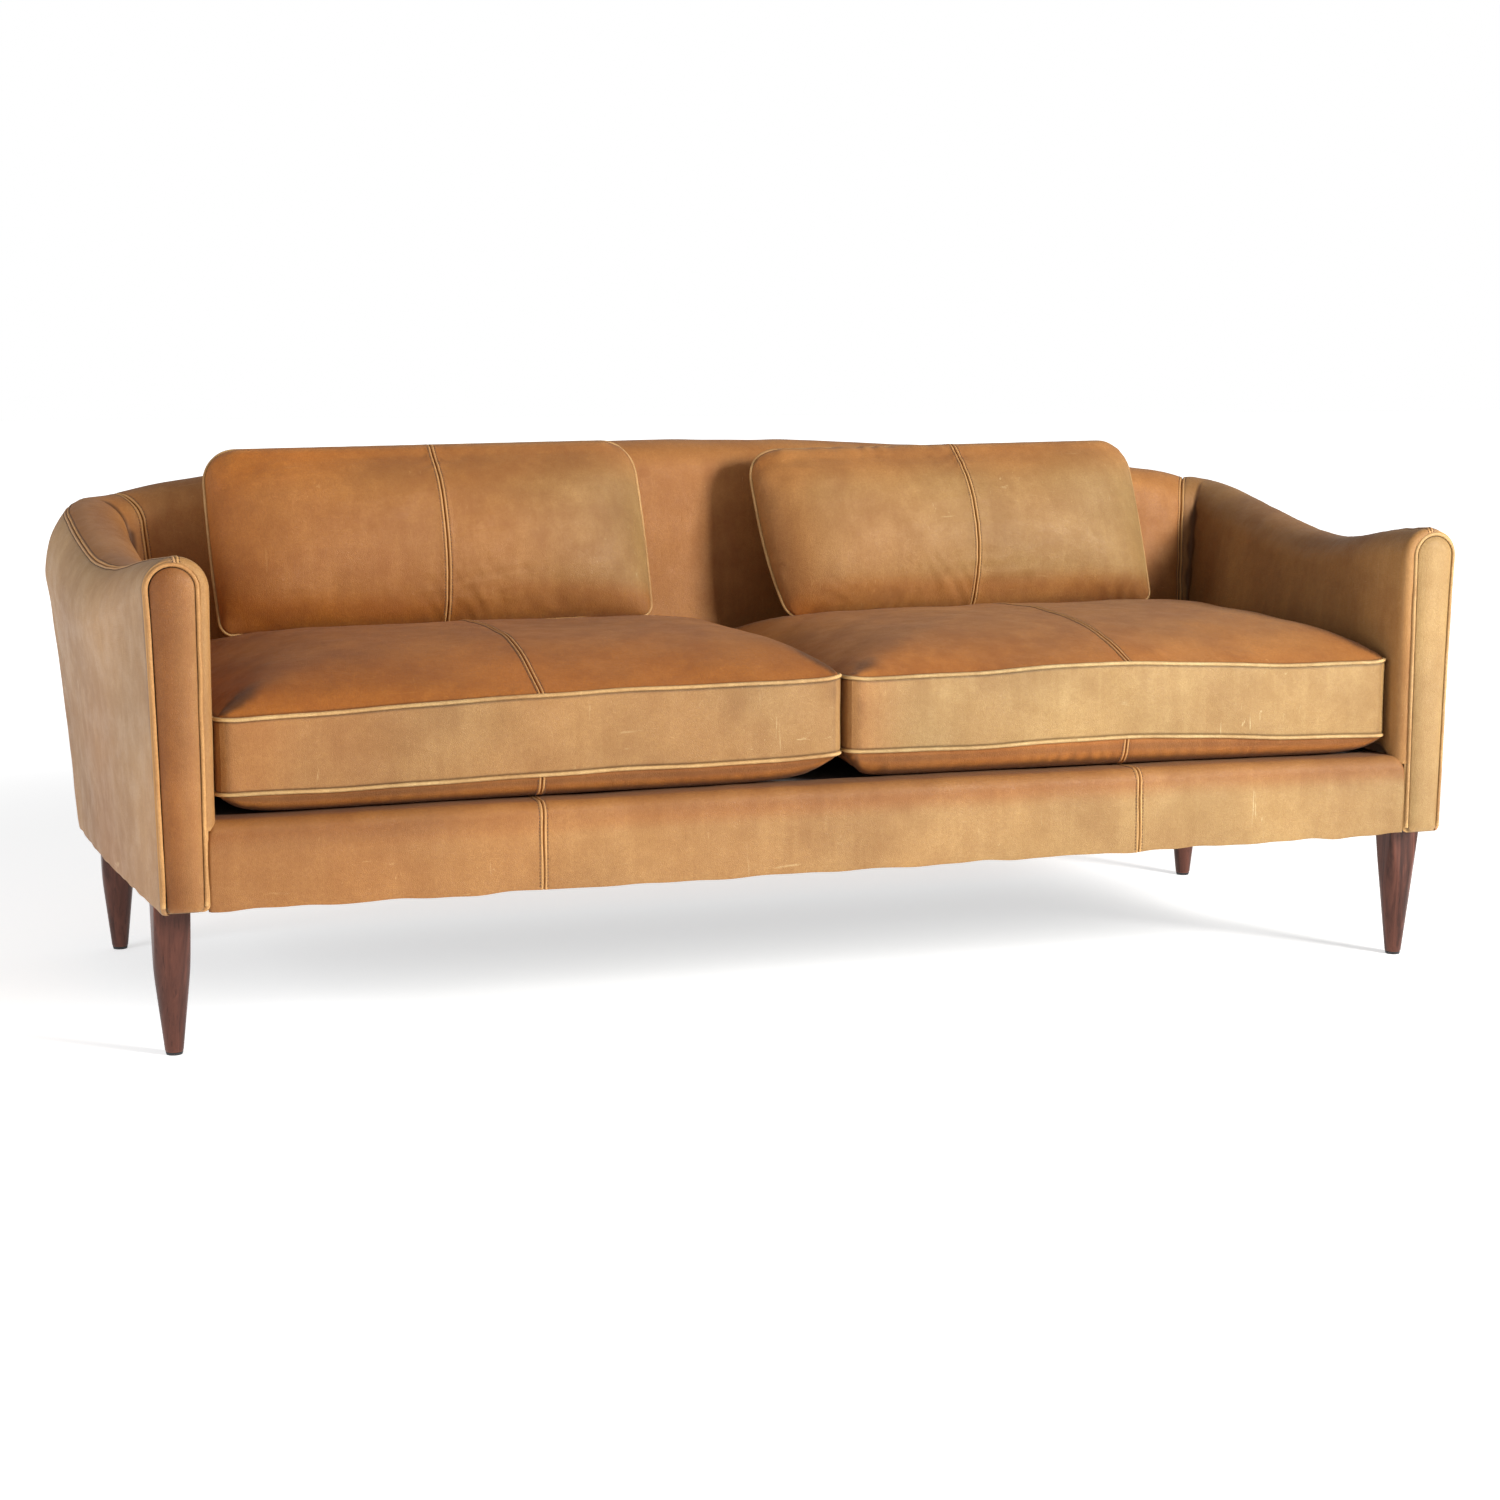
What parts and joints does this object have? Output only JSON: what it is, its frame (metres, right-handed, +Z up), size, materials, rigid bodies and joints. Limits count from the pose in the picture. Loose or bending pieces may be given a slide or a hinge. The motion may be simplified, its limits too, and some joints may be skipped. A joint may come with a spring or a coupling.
{
  "type": "two-seat sofa",
  "caption": "Two-seat leather sofa with a curved padded back and arms, loose seat cushions, loose lumbar pillows and tapered wooden legs.",
  "frame": {"origin": "on the floor, under the middle of the sofa's box", "axes": "+X to the sitter's left along the seat, +Y towards the back, +Z up"},
  "size_m": [2.1332, 0.8895, 0.8123],
  "materials": {
    "leather_tan": "satin",
    "leather_welt": "satin",
    "walnut": "satin",
    "hardwood": "matte",
    "spring_steel": "satin",
    "foam": "matte",
    "fibre": "matte",
    "black_cloth": "matte",
    "zip_metal": "satin",
    "glide_plastic": "matte"
  },
  "bodies": {
    "frame": {"front_rail": "hardwood", "back_rail": "hardwood", "side_rail_left": "hardwood", "side_rail_right": "hardwood", "seat_stretcher": "hardwood", "front_post_left": "hardwood", "front_post_right": "hardwood", "rear_post_left": "hardwood", "rear_post_right": "hardwood", "arm_rail_left": "hardwood", "arm_rail_right": "hardwood", "back_top_rail": "hardwood", "back_centre_post": "hardwood", "seat_springs_left": "spring_steel", "seat_springs_right": "spring_steel", "back_webbing": "black_cloth", "seat_deck_pad": "fibre", "arm_pad_left": "foam", "arm_pad_right": "foam", "back_pad": "foam", "inside_arm_cover_left": "leather_tan", "inside_arm_cover_right": "leather_tan", "outside_arm_cover_left": "leather_tan", "outside_arm_cover_right": "leather_tan", "inside_back_cover": "leather_tan", "outside_back_cover": "leather_tan", "front_rail_cover": "leather_tan", "arm_facing_left": "leather_tan", "arm_facing_right": "leather_tan", "facing_welt_left": "leather_welt", "facing_welt_right": "leather_welt", "dust_cover": "black_cloth", "leg_front_left": "walnut", "leg_front_right": "walnut", "leg_rear_left": "walnut", "leg_rear_right": "walnut", "leg_glide_front_left": "glide_plastic", "leg_glide_front_right": "glide_plastic", "leg_glide_rear_left": "glide_plastic", "leg_glide_rear_right": "glide_plastic", "hanger_bolt_front_left": "spring_steel", "hanger_bolt_front_right": "spring_steel", "hanger_bolt_rear_left": "spring_steel", "hanger_bolt_rear_right": "spring_steel"},
    "seat_cushion_left": {"seat_cushion_casing_left": "leather_tan", "seat_foam_core_left": "foam", "seat_zip_left": "black_cloth"},
    "seat_zip_slider_left": {"seat_zip_slider_left": "zip_metal"},
    "pillow_left": {"pillow_casing_left": "leather_tan", "pillow_insert_left": "fibre", "pillow_zip_left": "black_cloth"},
    "pillow_zip_slider_left": {"pillow_zip_slider_left": "zip_metal"},
    "seat_cushion_right": {"seat_cushion_casing_right": "leather_tan", "seat_foam_core_right": "foam", "seat_zip_right": "black_cloth"},
    "seat_zip_slider_right": {"seat_zip_slider_right": "zip_metal"},
    "pillow_right": {"pillow_casing_right": "leather_tan", "pillow_insert_right": "fibre", "pillow_zip_right": "black_cloth"},
    "pillow_zip_slider_right": {"pillow_zip_slider_right": "zip_metal"}
  },
  "joints": [
    {"name": "seat_cushion_lift_left", "type": "slide", "parent": "frame", "child": "seat_cushion_left", "axis": [0, 0, 1], "range_m": [0, 0.5]},
    {"name": "pillow_lift_left", "type": "slide", "parent": "seat_cushion_left", "child": "pillow_left", "axis": [0, 0, 1], "range_m": [0, 0.35]},
    {"name": "seat_zip_run_left", "type": "slide", "parent": "seat_cushion_left", "child": "seat_zip_slider_left", "axis": [1, 0, 0], "range_m": [0, 0.519]},
    {"name": "pillow_zip_run_left", "type": "slide", "parent": "pillow_left", "child": "pillow_zip_slider_left", "axis": [0.9999, 0, 0.014], "range_m": [0, 0.399]},
    {"name": "seat_cushion_lift_right", "type": "slide", "parent": "frame", "child": "seat_cushion_right", "axis": [0, 0, 1], "range_m": [0, 0.5]},
    {"name": "pillow_lift_right", "type": "slide", "parent": "seat_cushion_right", "child": "pillow_right", "axis": [0, 0, 1], "range_m": [0, 0.35]},
    {"name": "seat_zip_run_right", "type": "slide", "parent": "seat_cushion_right", "child": "seat_zip_slider_right", "axis": [1, 0, 0], "range_m": [0, 0.519]},
    {"name": "pillow_zip_run_right", "type": "slide", "parent": "pillow_right", "child": "pillow_zip_slider_right", "axis": [0.9999, 0, 0.014], "range_m": [0, 0.399]}
  ]
}
